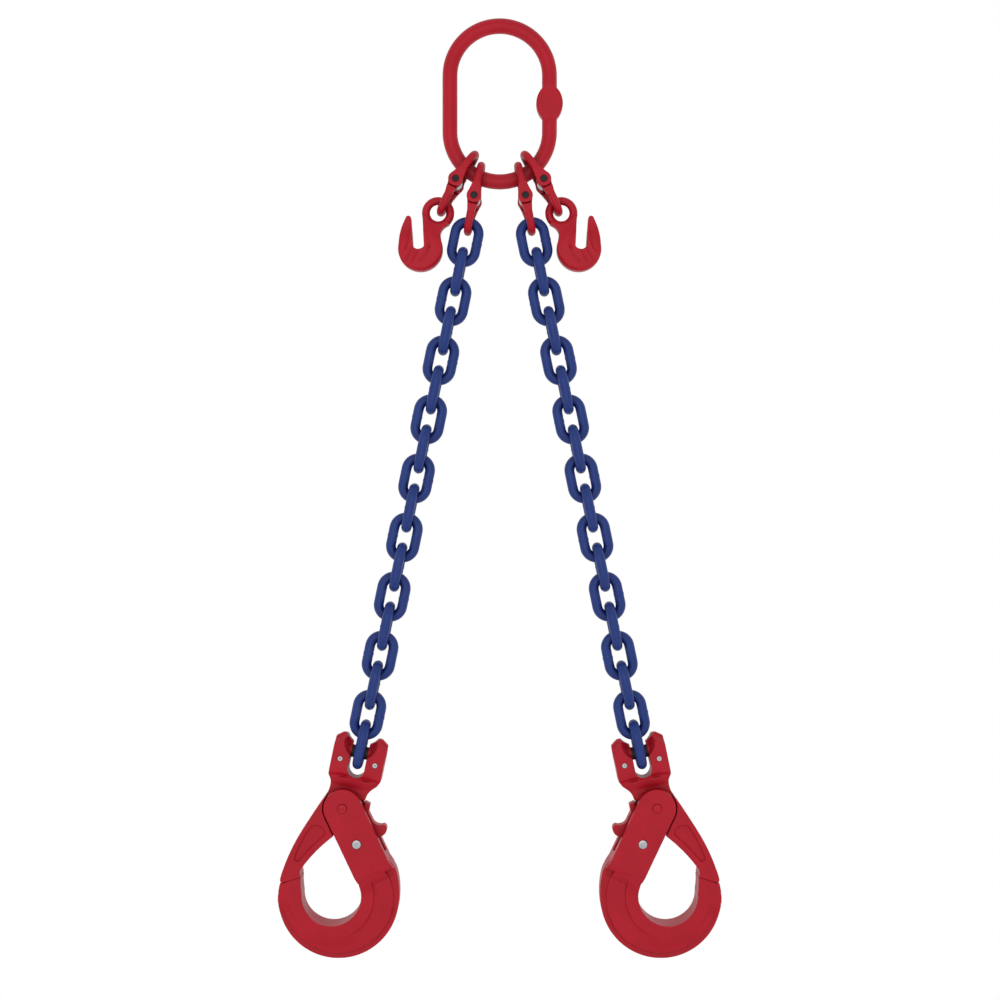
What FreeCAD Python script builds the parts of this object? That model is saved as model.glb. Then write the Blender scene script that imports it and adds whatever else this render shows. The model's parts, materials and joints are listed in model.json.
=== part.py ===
import FreeCAD, Part
import math
import os
import re
import Sketcher

# Two-leg chain sling. Millimetres. Origin at the inside top of the master link, where the crane
# hook sits; +X to the right, +Y to the back, +Z up. Both legs lie in the plane Y = 0 and mirror
# each other across the plane X = 0. Side -1 is the left leg, side +1 the right leg.

V = FreeCAD.Vector
Y_AXIS = V(0, 1, 0)
Z_AXIS = V(0, 0, 1)
SIDES = {"left": -1, "right": 1}

doc = FreeCAD.newDocument("chain_sling")
sheet = doc.addObject("Spreadsheet::Sheet", "dims")

DIMENSIONS = {
    # master link
    "ring_bar": 15.0,
    "ring_radius": 49.5,
    "ring_straight": 28.0,
    "flat_half_width": 13.25,
    "flat_half_height": 17.5,
    "flat_thickness": 12.4,
    # chain
    "wire": 10.0,
    "pitch": 30.0,
    "play": 0.2,
    "link_inner_width": 13.4,
    "links_per_leg": 18,
    "leg_tilt": 11.64,
    "first_link_x": 34.3,
    "first_link_z": -207.5,
    # coupling link
    "coupling_length": 37.5,
    "coupling_gap": 22.0,
    "coupling_wall": 8.2,
    "crown_depth": 7.2,
    "chain_crown_depth": 7.9,
    "crown_half_width": 3.9,
    "crown_round": 2.8,
    "seat_gap": 0.9,
    "ear_radius": 7.3,
    "lap_thickness": 4.0,
    "shoulder": 8.3,
    "coupling_pin_radius": 3.3,
    "bush_radius": 6.0,
    "running_clearance": 0.08,
    # where the coupling links hang, angles from the bottom of the master link and from vertical
    "chain_ring_angle": 24.5,
    "chain_upper_tilt": 12.5,
    "chain_lower_tilt": 11.6,
    "short_pin_x": 43.4,
    "short_pin_z": -148.2,
    "short_upper_tilt": 35.0,
    "short_lower_tilt": 27.6,
    # grab hook, measured from the centre of its eye
    "grab_eye_x": 61.3,
    "grab_eye_z": -178.7,
    "eye_mean_radius": 12.1,
    "eye_section_radius": 4.05,
    "grab_disc_x": -17.4,
    "grab_disc_z": -35.9,
    "grab_disc_radius": 22.2,
    "grab_thickness": 16.0,
    "grab_bevel": 3.0,
    "grab_web": 11.0,
    "slot_left": -24.6,
    "slot_right": -13.8,
    "slot_floor": -34.2,
    "horn_tip_radius": 3.0,
    # self-locking hook, measured from the load pin with Z along the leg
    "load_pin_x": 138.8,
    "load_pin_z": -714.8,
    "load_pin_radius": 6.3,
    "load_pin_length": 50.4,
    "stop_pin_radius": 2.5,
    "stop_pin_x": 17.5,
    "stop_pin_z": -8.4,
    "fork_half_width": 26.2,
    "fork_slot": 16.4,
    "fork_slot_floor": -24.4,
    "fork_thickness": 22.0,
    "fork_crease": -25.6,
    "lug_thickness": 10.8,
    "lug_radius": 17.4,
    "arm_thickness": 26.0,
    "arm_recess": 1.2,
    "tongue_thickness": 8.0,
    "tongue_depth": 6.0,
    "pivot_x": -5.2,
    "pivot_z": -55.5,
    "rivet_radius": 4.2,
    "cheek_radius": 18.8,
    "cheek_thickness": 30.0,
    "cheek_slot": 11.6,
    "shank_angle": 37.0,
    "trigger_x": -2.4,
    "trigger_z": -37.9,
    "trigger_pin_radius": 4.3,
    "trigger_thickness": 10.4,
    "bowl_x": 1.5,
    "bowl_z": -143.0,
    "bowl_radius": 29.4,
    "band_radius": 42.0,
    "band_thickness": 25.0,
    "rim_x": 8.6,
    "rim_z": -144.0,
    "rim_radius": 59.7,
    "rim_thickness": 17.0,
    "web_radius": 54.4,
    "web_thickness": 21.0,
    "spring_wire": 1.0,
    "spring_radius": 6.0,
}

# sizes that follow from the driving dimensions
DERIVED = {
    "link_radius": "=0.5 * link_inner_width + 0.5 * wire",
    "link_straight": "=0.5 * pitch + 0.5 * play - 0.5 * link_inner_width",
}

for row, (alias, value) in enumerate({**DIMENSIONS, **DERIVED}.items(), start=1):
    sheet.set("A%d" % row, alias.replace("_", " "))
    sheet.set("B%d" % row, str(value))
    sheet.setAlias("B%d" % row, alias)
doc.recompute()

# every finished sub-part, one per file
parts = []


def size(text):
    """Number for a sum such as '2 * wire - play', written with the names in the sheet."""
    total = 0.0
    for part in str(text).replace(" - ", " + -").split(" + "):
        product = 1.0
        for word in part.split(" * "):
            bare = word.lstrip("-")
            number = float(bare) if bare[0].isdigit() else float(sheet.get(bare))
            product *= -number if word.startswith("-") else number
        total += product
    return total


def formula(text, flip=1):
    """The same sum as an expression that reads the sheet; flip -1 mirrors it."""
    body = re.sub(r"[a-z][a-z_]*", lambda name: "dims." + name.group(0), str(text))
    return body if flip == 1 else "-(%s)" % body


def origin_part(body, role):
    """The plane or axis of the body's own origin with the given role."""
    return [item for item in body.Origin.OriginFeatures if item.Role == role][0]


def new_body(label):
    """An empty body whose label names its file."""
    body = doc.addObject("PartDesign::Body", label)
    body.Label = label
    return body


def new_sketch(body, name, role="XZ_Plane", offset=None):
    """A sketch attached to one of the body's origin planes."""
    sketch = body.newObject("Sketcher::SketchObject", name)
    sketch.AttachmentSupport = [(origin_part(body, role), "")]
    sketch.MapMode = "FlatFace"
    if offset is not None:
        sketch.AttachmentOffset = offset
    return sketch


def hold_value(sketch, kind, entry, text, flip=1):
    """Adds one dimension and ties it to the sheet."""
    index = sketch.addConstraint(Sketcher.Constraint(kind, *entry, flip * size(text)))
    if re.search("[a-z]", str(text)):
        sketch.setExpression("Constraints[%d]" % index, formula(text, flip))


def hold_point(sketch, curve, end, x, y, flip=1):
    """Fixes one point of a curve at sizes read from the sheet."""
    if size(x) == 0:
        sketch.addConstraint(Sketcher.Constraint("PointOnObject", curve, end, -2))
    else:
        hold_value(sketch, "DistanceX", (-1, 1, curve, end), x, flip)
    if size(y) == 0:
        sketch.addConstraint(Sketcher.Constraint("PointOnObject", curve, end, -1))
    else:
        hold_value(sketch, "DistanceY", (-1, 1, curve, end), y)


def circle(sketch, x, y, radius, flip=1):
    """A circle given by its centre and radius."""
    centre = V(flip * size(x), size(y), 0)
    curve = sketch.addGeometry(Part.Circle(centre, Z_AXIS, size(radius)), False)
    hold_point(sketch, curve, 3, x, y, flip)
    hold_value(sketch, "Radius", (curve,), radius)


def arc_middle(start, end, radius):
    """Middle point of the short arc; a positive radius runs counter-clockwise."""
    chord = end - start
    across = V(chord.y, -chord.x, 0).normalize()
    depth = abs(radius) - math.sqrt(max(radius * radius - chord.Length ** 2 / 4, 0.0))
    return (start + end) * 0.5 + across * math.copysign(depth, radius)


def outline(sketch, corners, flip=1):
    """A closed outline. A third entry in a corner is the radius of the side that leaves it."""
    points = [V(size(c[0]), size(c[1]), 0) for c in corners]
    curves = []
    for i, corner in enumerate(corners):
        start = points[i]
        end = points[(i + 1) % len(points)]
        start_here = V(flip * start.x, start.y, 0)
        end_here = V(flip * end.x, end.y, 0)
        if len(corner) == 2:
            shape = Part.LineSegment(start_here, end_here)
        else:
            middle = arc_middle(start, end, size(corner[2]))
            shape = Part.Arc(start_here, V(flip * middle.x, middle.y, 0), end_here)
        curve = sketch.addGeometry(shape, False)
        first = sketch.getPoint(curve, 1)
        near = 1 if first.distanceToPoint(start_here) < first.distanceToPoint(end_here) else 2
        curves.append((curve, near, 3 - near))
    for i, (curve, near, _) in enumerate(curves):
        before = curves[i - 1]
        sketch.addConstraint(Sketcher.Constraint("Coincident", before[0], before[2], curve, near))
        hold_point(sketch, curve, near, corners[i][0], corners[i][1], flip)
        if len(corners[i]) == 3:
            radius = str(corners[i][2]).lstrip("-")
            hold_value(sketch, "Radius", (curve,), radius)


def feature(body, kind, name, sketch, length, side="Symmetric"):
    """A pad or pocket of one sketch; its length reads the sheet."""
    made = body.newObject("PartDesign::" + kind, name)
    made.Profile = sketch
    made.SideType = side
    made.Length = size(length)
    if re.search("[a-z]", str(length)):
        made.setExpression("Length", formula(length))
    body.Tip = made
    sketch.Visibility = False
    return made


def mirrored(body, name, original):
    """The same feature again on the other face, across the body's middle plane."""
    made = body.newObject("PartDesign::Mirrored", name)
    made.Originals = [original]
    made.MirrorPlane = (origin_part(body, "XZ_Plane"), [""])
    body.Tip = made


def edges_where(shape, test):
    """Names of the edges whose middle point passes the test."""
    names = []
    for i, edge in enumerate(shape.Edges, start=1):
        middle = edge.valueAt((edge.FirstParameter + edge.LastParameter) / 2)
        if test(middle, edge):
            names.append("Edge%d" % i)
    return names


def dress(body, kind, name, amount, test):
    """A fillet or chamfer on the edges that pass the test."""
    base = body.Tip
    doc.recompute()
    made = body.newObject("PartDesign::" + kind, name)
    made.Base = (base, edges_where(base.Shape, test))
    target = "Radius" if kind == "Fillet" else "Size"
    setattr(made, target, size(amount))
    made.setExpression(target, formula(amount))
    body.Tip = made
    return made


def tilt(degrees):
    """Rotation about Y; positive leans the top of a part towards +X."""
    return FreeCAD.Rotation(Y_AXIS, degrees)


def round_bar_link(body, straight, radius, bar):
    """A closed link of round bar: two straight legs and two half-round crowns."""
    path = new_sketch(body, "path")
    outline(path, [
        ("-" + radius, "0"),
        ("-" + radius, "-" + straight, radius),
        ("0", "-" + straight + " - " + radius, radius),
        (radius, "-" + straight),
        (radius, straight, radius),
        ("0", straight + " + " + radius, radius),
        ("-" + radius, straight),
    ])
    section = new_sketch(body, "section", "XY_Plane")
    circle(section, "-" + radius, "0", bar)
    pipe = body.newObject("PartDesign::AdditivePipe", "bar")
    pipe.Profile = section
    pipe.Spine = (path, ["Edge%d" % (i + 1) for i in range(path.GeometryCount)])
    pipe.Transition = "Round corner"
    body.Tip = pipe


def master_link():
    """Round bar ring with a pressed oval flat on its right leg."""
    body = new_body("master_link")
    round_bar_link(body, "ring_straight", "ring_radius", "0.5 * ring_bar")
    oval = [
        ("ring_radius", "flat_half_height", "-11"),
        ("ring_radius + 0.707 * flat_half_width", "0.707 * flat_half_height", "-22"),
        ("ring_radius + flat_half_width", "0", "-22"),
        ("ring_radius + 0.707 * flat_half_width", "-0.707 * flat_half_height", "-11"),
        ("ring_radius", "-flat_half_height", "-11"),
        ("ring_radius - 0.707 * flat_half_width", "-0.707 * flat_half_height", "-22"),
        ("ring_radius - flat_half_width", "0", "-22"),
        ("ring_radius - 0.707 * flat_half_width", "0.707 * flat_half_height", "-11"),
    ]
    front = FreeCAD.Placement(V(0, 0, size("ring_bar")), FreeCAD.Rotation())
    press = new_sketch(body, "press", "XZ_Plane", front)
    outline(press, oval)
    pressed = feature(body, "Pocket", "pressed", press, "ring_bar - 0.5 * flat_thickness", "One side")
    mirrored(body, "pressed_back", pressed)
    flat = new_sketch(body, "flat")
    outline(flat, oval)
    feature(body, "Pad", "flat_pad", flat, "flat_thickness")
    body.Placement = FreeCAD.Placement(
        V(0, 0, size("0.5 * ring_bar - ring_straight - ring_radius")), FreeCAD.Rotation())
    parts.append(body)


def coupling_half(label, crown, pin_at, angle, upper):
    """One half of a coupling link: a crown with two half-lapped ears, pin axis along Y.

    The upper half carries its outer ear in front, the lower half behind."""
    body = new_body(label)
    outer = "0.5 * coupling_gap + coupling_wall"
    inner = "0.5 * coupling_gap"
    split_front = "-0.5 * coupling_gap - coupling_wall + lap_thickness"
    split_back = "0.5 * coupling_gap + lap_thickness"
    arch = new_sketch(body, "arch", "YZ_Plane")
    outline(arch, [
        ("-0.5 * coupling_gap - coupling_wall", "-ear_radius"),
        (split_front, "-ear_radius"),
        (split_front, "shoulder"),
        ("-" + inner, "shoulder"),
        ("-" + inner, "coupling_length - %s - %s" % (crown, inner), "-" + inner),
        ("0", "coupling_length - %s" % crown, "-" + inner),
        (inner, "coupling_length - %s - %s" % (crown, inner)),
        (inner, "-ear_radius"),
        (split_back, "-ear_radius"),
        (split_back, "shoulder"),
        (outer, "shoulder"),
        (outer, "coupling_length - 0.5 * coupling_gap - coupling_wall", outer),
        ("0", "coupling_length", outer),
        ("-0.5 * coupling_gap - coupling_wall",
         "coupling_length - 0.5 * coupling_gap - coupling_wall"),
    ])
    feature(body, "Pad", "arch_pad", arch, "2 * ear_radius")
    side_view = new_sketch(body, "side_view")
    outline(side_view, [("-12", "-12"), ("12", "-12"), ("12", "60"), ("-12", "60")])
    outline(side_view, [
        ("0", "-ear_radius", "ear_radius"),
        ("ear_radius", "0", "ear_radius"),
        ("0.906 * ear_radius", "0.423 * ear_radius", "-45"),
        ("crown_half_width", "2.2 * ear_radius"),
        ("crown_half_width", "coupling_length - crown_half_width", "crown_half_width"),
        ("0", "coupling_length", "crown_half_width"),
        ("-crown_half_width", "coupling_length - crown_half_width"),
        ("-crown_half_width", "2.2 * ear_radius", "-45"),
        ("-0.906 * ear_radius", "0.423 * ear_radius", "ear_radius"),
        ("-ear_radius", "0", "ear_radius"),
    ])
    feature(body, "Pocket", "side_trim", side_view, "4 * coupling_gap")
    bore = new_sketch(body, "bore")
    circle(bore, "0", "0", "coupling_pin_radius + running_clearance")
    feature(body, "Pocket", "pin_bore", bore, "4 * coupling_gap")
    half_width = size("crown_half_width")
    flare_end = size("2.2 * ear_radius") + 0.01
    throat = size(inner) + 0.01
    arch_centre = size("coupling_length - %s - %s" % (crown, inner))

    def on_throat(point, edge):
        """True on the long edges around the inside of the crown."""
        rise = max(point.z - arch_centre, 0.0)
        inside = math.hypot(point.y, rise) < throat
        return inside and point.z > flare_end and abs(abs(point.x) - half_width) < 0.01

    dress(body, "Fillet", "crown_rounding", "crown_round", on_throat)
    turn = FreeCAD.Rotation() if upper else FreeCAD.Rotation(V(1, 0, 0), 180)
    body.Placement = FreeCAD.Placement(pin_at, tilt(angle).multiply(turn))
    parts.append(body)


def cylinder(name, radius, length, axis, centre=V(0, 0, 0)):
    """A plain cylinder centred on a point, along X or Y; sizes read the sheet."""
    made = doc.addObject("Part::Cylinder", name)
    made.setExpression("Radius", formula(radius))
    made.setExpression("Height", formula(length))
    turn = FreeCAD.Rotation(Z_AXIS, axis)
    half = 0.5 * size(length)
    made.Placement = FreeCAD.Placement(centre - axis * half, turn)
    return made


def cut(name, base, tool):
    """Base minus tool."""
    made = doc.addObject("Part::Cut", name)
    made.Base = base
    made.Tool = tool
    return made


def group(label, members, placement):
    """Separate solids that share one node."""
    made = doc.addObject("Part::Compound", label)
    made.Label = label
    made.Links = members
    made.Placement = placement
    parts.append(made)
    return made


def coupling_pin(label, pin_at, angle):
    """Pin through the four ears, with the retaining bush between the inner ears."""
    width = "coupling_gap + 2 * coupling_wall"
    pin = cylinder(label + "_shaft", "coupling_pin_radius", width, Y_AXIS)
    sleeve = cylinder(label + "_sleeve", "bush_radius", "coupling_gap - 2 * play", Y_AXIS)
    hole = cylinder(label + "_hole", "coupling_pin_radius + running_clearance", width, Y_AXIS)
    bush = cut(label + "_bush", sleeve, hole)
    group(label, [pin, bush], FreeCAD.Placement(pin_at, tilt(angle)))


def grab_hook(label, side, eye_at):
    """Eye grab hook: round eye, short shank, thick cradle body with a narrow slot and a horn."""
    flip = -side
    body = new_body(label)
    disc = new_sketch(body, "disc")
    circle(disc, "grab_disc_x", "grab_disc_z", "grab_disc_radius", flip)
    feature(body, "Pad", "disc_pad", disc, "grab_thickness")
    dress(body, "Chamfer", "disc_bevel", "grab_bevel", lambda point, edge: True)
    slot = new_sketch(body, "slot")
    outline(slot, [
        ("slot_left - 2.2", "0"),
        ("slot_left", "slot_floor", "7"),
        ("slot_right", "slot_floor + 0.5"),
        ("slot_right - 1.8", "0"),
    ], flip)
    feature(body, "Pocket", "slot_cut", slot, "2 * grab_thickness")
    horn = new_sketch(body, "horn")
    outline(horn, [
        ("slot_left", "slot_floor"),
        ("slot_left - 1.9", "-6.2", "horn_tip_radius"),
        ("slot_left - 4.8", "-3.1", "horn_tip_radius"),
        ("slot_left - 7.7", "-5.9", "60"),
        ("grab_disc_x - 0.98 * grab_disc_radius", "grab_disc_z + 4.6"),
        ("grab_disc_x - 0.6 * grab_disc_radius", "grab_disc_z - 6"),
    ], flip)
    feature(body, "Pad", "horn_pad", horn, "grab_web - 1")
    shank = new_sketch(body, "shank")
    outline(shank, [
        ("slot_right - 1.75", "-1"),
        ("slot_right", "slot_floor + 2"),
        ("slot_right + 2", "grab_disc_z - 8"),
        ("grab_disc_x + grab_disc_radius - 0.2", "grab_disc_z - 1"),
        ("2.4", "-21.2", "-13"),
        ("11.8", "-11.6"),
        ("8.56", "-8.56", "-eye_mean_radius"),
        ("0", "-eye_mean_radius", "-eye_mean_radius"),
        ("-11.4", "-4"),
    ], flip)
    feature(body, "Pad", "shank_pad", shank, "grab_web")
    section = new_sketch(body, "eye_section", "XY_Plane")
    circle(section, "eye_mean_radius", "0", "eye_section_radius", flip)
    eye = body.newObject("PartDesign::Revolution", "eye")
    eye.Profile = section
    eye.ReferenceAxis = (origin_part(body, "Y_Axis"), [""])
    eye.Angle = 360
    body.Tip = eye
    body.Placement = FreeCAD.Placement(eye_at, FreeCAD.Rotation())
    parts.append(body)


def hook_clevis(label, side, placement):
    """Fork for the chain, pivot lug and gate arm of the self-locking hook, in one forging."""
    flip = -side
    body = new_body(label)
    fork = new_sketch(body, "fork")
    outline(fork, [
        ("-fork_half_width", "12"),
        ("-19.5", "16.9"),
        ("-15.8", "16.9", "18"),
        ("-0.5 * fork_slot", "9.9"),
        ("-0.5 * fork_slot", "fork_slot_floor + 0.5 * fork_slot", "0.5 * fork_slot"),
        ("0", "fork_slot_floor", "0.5 * fork_slot"),
        ("0.5 * fork_slot", "fork_slot_floor + 0.5 * fork_slot"),
        ("0.5 * fork_slot", "9.9", "18"),
        ("15.8", "16.9"),
        ("19.5", "16.9"),
        ("fork_half_width", "12"),
        ("fork_half_width", "fork_crease + 1.9"),
        ("23.6", "-29"),
        ("19.6", "-33.4", "16"),
        ("14.8", "-45"),
        ("9", "-46.4"),
        ("pivot_x", "pivot_z"),
        ("-20", "-50"),
        ("-24.3", "-47", "26"),
        ("-23", "-31"),
        ("-fork_half_width", "fork_crease"),
    ], flip)
    feature(body, "Pad", "fork_pad", fork, "fork_thickness")
    for name, face_side in (("front_waist", -1), ("back_waist", 1)):
        waist = new_sketch(body, name, "YZ_Plane")
        outline(waist, [
            ("0.5 * fork_thickness + 2", "fork_crease + 3.5"),
            ("0.5 * fork_thickness", "fork_crease + 3.5"),
            ("0.5 * fork_thickness - 2.6", "fork_crease"),
            ("0.5 * lug_thickness", "pivot_z + cheek_radius + 1.6"),
            ("0.5 * lug_thickness", "pivot_z - 12"),
            ("0.5 * fork_thickness + 2", "pivot_z - 12"),
        ], face_side)
        feature(body, "Pocket", name + "_cut", waist, "4 * fork_half_width")
    lug = new_sketch(body, "lug")
    circle(lug, "pivot_x", "pivot_z", "lug_radius", flip)
    feature(body, "Pad", "lug_pad", lug, "lug_thickness")
    web_link = new_sketch(body, "web_link")
    outline(web_link, [
        ("pivot_x", "pivot_z + 12"),
        ("-24", "-46"),
        ("-34.2", "-71.3"),
        ("-22", "-92"),
        ("-9", "-83"),
        ("pivot_x", "pivot_z - 12"),
    ], flip)
    feature(body, "Pad", "web_pad", web_link, "lug_thickness")
    arm = new_sketch(body, "arm")
    outline(arm, [
        ("-24.1", "-46.5", "600"),
        ("-37.9", "-79.8", "180"),
        ("-50.4", "-125.5", "60"),
        ("-51.5", "-137.3"),
        ("-49.8", "-139.6"),
        ("-32.1", "-130.1", "-9"),
        ("-33.4", "-123.1", "-150"),
        ("-8.4", "-84.4"),
        ("-21.1", "-67.6", "-19.6"),
        ("-23.1", "-47.5"),
    ], flip)
    feature(body, "Pad", "arm_pad", arm, "arm_thickness")
    recess_at = FreeCAD.Placement(V(0, 0, size("0.5 * arm_thickness")), FreeCAD.Rotation())
    recess = new_sketch(body, "recess", "XZ_Plane", recess_at)
    outline(recess, [
        ("-31.7", "-78.4", "-12"),
        ("-25.6", "-76.9", "-14"),
        ("-17.9", "-80.1", "-5"),
        ("-18.4", "-86.8", "160"),
        ("-36.2", "-114.4", "-3.1"),
        ("-42", "-112.7", "-120"),
    ], flip)
    recessed = feature(body, "Pocket", "recess_cut", recess, "arm_recess", "One side")
    mirrored(body, "recess_back", recessed)
    tongue = new_sketch(body, "tongue")
    outline(tongue, [
        ("-46.6", "-135"),
        ("-46.6 + 0.3 * tongue_depth", "-138 - 0.95 * tongue_depth", "6"),
        ("-39.4 + 0.477 * tongue_depth", "-134 - 0.879 * tongue_depth"),
        ("-38", "-131"),
    ], flip)
    feature(body, "Pad", "tongue_pad", tongue, "tongue_thickness")
    holes = new_sketch(body, "stop_pin_holes")
    circle(holes, "-stop_pin_x", "stop_pin_z", "stop_pin_radius + 0.05", flip)
    circle(holes, "stop_pin_x", "stop_pin_z", "stop_pin_radius + 0.05", flip)
    circle(holes, "pivot_x", "pivot_z", "rivet_radius + 0.05", flip)
    feature(body, "Pocket", "stop_pin_bores", holes, "2 * fork_thickness")
    load = new_sketch(body, "load_pin_hole", "YZ_Plane")
    circle(load, "0", "0", "load_pin_radius + 0.1")
    feature(body, "Pocket", "load_pin_bore", load, "4 * fork_half_width")
    body.Placement = placement
    parts.append(body)


def hook_pins(label, side, placement):
    """Load pin with two stop pins across it, and the main pivot rivet."""
    flip = -side
    shaft = cylinder(label + "_shaft", "load_pin_radius", "load_pin_length", V(1, 0, 0))
    grooves = []
    stops = []
    for name, sign in (("a", -1), ("b", 1)):
        centre = V(sign * size("stop_pin_x"), 0, size("stop_pin_z"))
        stops.append(cylinder(label + "_stop_" + name, "stop_pin_radius",
                              "fork_thickness - 0.6", Y_AXIS, centre))
        grooves.append(cylinder(label + "_groove_" + name, "stop_pin_radius + 0.1",
                                "fork_thickness", Y_AXIS, centre))
    tools = doc.addObject("Part::MultiFuse", label + "_grooves")
    tools.Shapes = grooves
    load_pin = cut(label + "_load_pin", shaft, tools)
    centre = V(flip * size("pivot_x"), 0, size("pivot_z"))
    rivet = cylinder(label + "_rivet", "rivet_radius", "cheek_thickness + 0.8", Y_AXIS, centre)
    group(label, [load_pin] + stops + [rivet], placement)


def shank_frame(flip):
    """Sketch frame on the hook's middle plane: origin at the pivot, Y back up the shank."""
    return FreeCAD.Placement(V(flip * size("pivot_x"), size("pivot_z"), 0),
                             FreeCAD.Rotation(Z_AXIS, flip * size("shank_angle")))


def hook_body(label, side, placement):
    """Forked shank and bowl of the hook."""
    flip = -side
    body = new_body(label)
    for name, radius, thickness in (("rim", "rim_radius", "rim_thickness"),
                                    ("web", "web_radius", "web_thickness")):
        disc = new_sketch(body, name)
        circle(disc, "rim_x", "rim_z", radius, flip)
        feature(body, "Pad", name + "_pad", disc, thickness)
    back = new_sketch(body, "back")
    outline(back, [
        ("49.4", "-96.7", "-28"),
        ("61.1", "-109.9", "-86"),
        ("rim_x + rim_radius", "rim_z + 4"),
        ("rim_x + 0.7 * rim_radius", "rim_z"),
        ("40", "-105"),
    ], flip)
    feature(body, "Pad", "back_pad", back, "rim_thickness")
    band = new_sketch(body, "band")
    circle(band, "bowl_x", "bowl_z", "band_radius", flip)
    feature(body, "Pad", "band_pad", band, "band_thickness")
    mouth = new_sketch(body, "mouth")
    outline(mouth, [
        ("-31.6", "-131.1"),
        ("-49.8", "-140.5"),
        ("-80", "-156.5"),
        ("-80", "-60"),
        ("-7.3", "-60"),
        ("-7.3", "-83.3"),
        ("25.2", "-126.2"),
        ("bowl_x", "bowl_z"),
        ("bowl_x - 0.99 * bowl_radius", "bowl_z - 4", "-60"),
    ], flip)
    feature(body, "Pocket", "mouth_cut", mouth, "4 * band_thickness")
    bowl = new_sketch(body, "bowl")
    circle(bowl, "bowl_x", "bowl_z", "bowl_radius", flip)
    feature(body, "Pocket", "bowl_cut", bowl, "4 * band_thickness")
    cheek = new_sketch(body, "cheek", "XZ_Plane", shank_frame(flip))
    circle(cheek, "0", "0", "cheek_radius", flip)
    feature(body, "Pad", "cheek_pad", cheek, "cheek_thickness")
    shank = new_sketch(body, "shank", "XZ_Plane", shank_frame(flip))
    outline(shank, [
        ("cheek_radius", "0"),
        ("-cheek_radius", "0"),
        ("-cheek_radius", "-64", "30"),
        ("-17.2", "-75.5"),
        ("-3.8", "-72"),
        ("20.6", "-75.5"),
        ("cheek_radius", "-66"),
    ], flip)
    feature(body, "Pad", "shank_pad", shank, "cheek_thickness")
    slot = new_sketch(body, "slot", "XZ_Plane", shank_frame(flip))
    outline(slot, [
        ("-30", "30"),
        ("-30", "-21"),
        ("-11.2", "-21"),
        ("-11.2", "-51"),
        ("-4", "-58"),
        ("30", "-58"),
        ("30", "30"),
    ], flip)
    feature(body, "Pocket", "slot_cut", slot, "cheek_slot")
    fork = new_sketch(body, "tip_fork")
    outline(fork, [
        ("-34.4", "-132"),
        ("-30.4", "-139.4"),
        ("-61.2", "-156.1"),
        ("-66", "-148"),
    ], flip)
    feature(body, "Pocket", "tip_fork_cut", fork, "tongue_thickness + 0.8")
    bores = new_sketch(body, "bores", "XZ_Plane", shank_frame(flip))
    circle(bores, "0", "0", "rivet_radius + running_clearance", flip)
    circle(bores, "trigger_x", "trigger_z", "trigger_pin_radius + running_clearance", flip)
    feature(body, "Pocket", "pin_bores", bores, "2 * cheek_thickness")
    body.Placement = placement
    parts.append(body)


def hook_trigger(label, side, placement):
    """Locking lever with its nose and finger tab, its pin, and the torsion spring inside it."""
    flip = -side
    lever = new_body(label + "_lever")
    plan = new_sketch(lever, "plan", "XZ_Plane", shank_frame(flip))
    outline(plan, [
        ("21.4", "-4.6"),
        ("25", "-9.4"),
        ("20.2", "-16", "-60"),
        ("20.4", "-25", "9"),
        ("28.6", "-33.3", "-4"),
        ("29.6", "-38.2", "-8"),
        ("21.2", "-42.8", "20"),
        ("10", "-44", "-16"),
        ("trigger_x", "trigger_z - 8"),
        ("trigger_x - 8", "trigger_z", "-8"),
        ("trigger_x", "trigger_z + 8", "18"),
        ("9.5", "-21", "22"),
        ("18.4", "-8.6"),
    ], flip)
    feature(lever, "Pad", "lever_pad", plan, "trigger_thickness")
    holes = new_sketch(lever, "holes", "XZ_Plane", shank_frame(flip))
    circle(holes, "trigger_x", "trigger_z", "trigger_pin_radius + running_clearance", flip)
    feature(lever, "Pocket", "pin_bore", holes, "2 * trigger_thickness")
    pocket = new_sketch(lever, "spring_room", "XZ_Plane", shank_frame(flip))
    circle(pocket, "trigger_x", "trigger_z", "spring_radius + spring_wire", flip)
    feature(lever, "Pocket", "spring_room_cut", pocket, "5 * spring_wire")
    turned = FreeCAD.Placement(V(flip * size("pivot_x"), 0, size("pivot_z")),
                               tilt(-flip * size("shank_angle")))
    centre = turned.multVec(V(flip * size("trigger_x"), 0, size("trigger_z")))
    pin = cylinder(label + "_pin", "trigger_pin_radius", "cheek_thickness", Y_AXIS, centre)
    coil = doc.addObject("Part::Helix", label + "_coil")
    coil.setExpression("Pitch", formula("1.2 * spring_wire"))
    coil.setExpression("Height", formula("3.6 * spring_wire"))
    coil.setExpression("Radius", formula("spring_radius"))
    coil_at = centre - Y_AXIS * (1.8 * size("spring_wire"))
    coil.Placement = FreeCAD.Placement(coil_at, FreeCAD.Rotation(Z_AXIS, Y_AXIS))
    section = doc.addObject("Part::Circle", label + "_section")
    section.setExpression("Radius", formula("0.5 * spring_wire"))
    start = coil.Placement.multVec(V(size("spring_radius"), 0, 0))
    section.Placement = FreeCAD.Placement(start, FreeCAD.Rotation())
    doc.recompute()
    spring = doc.addObject("Part::Sweep", label + "_spring")
    spring.Sections = [section]
    spring.Spine = (coil, ["Edge1"])
    spring.Solid = True
    spring.Frenet = True
    group(label, [lever, pin, spring], placement)


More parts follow.
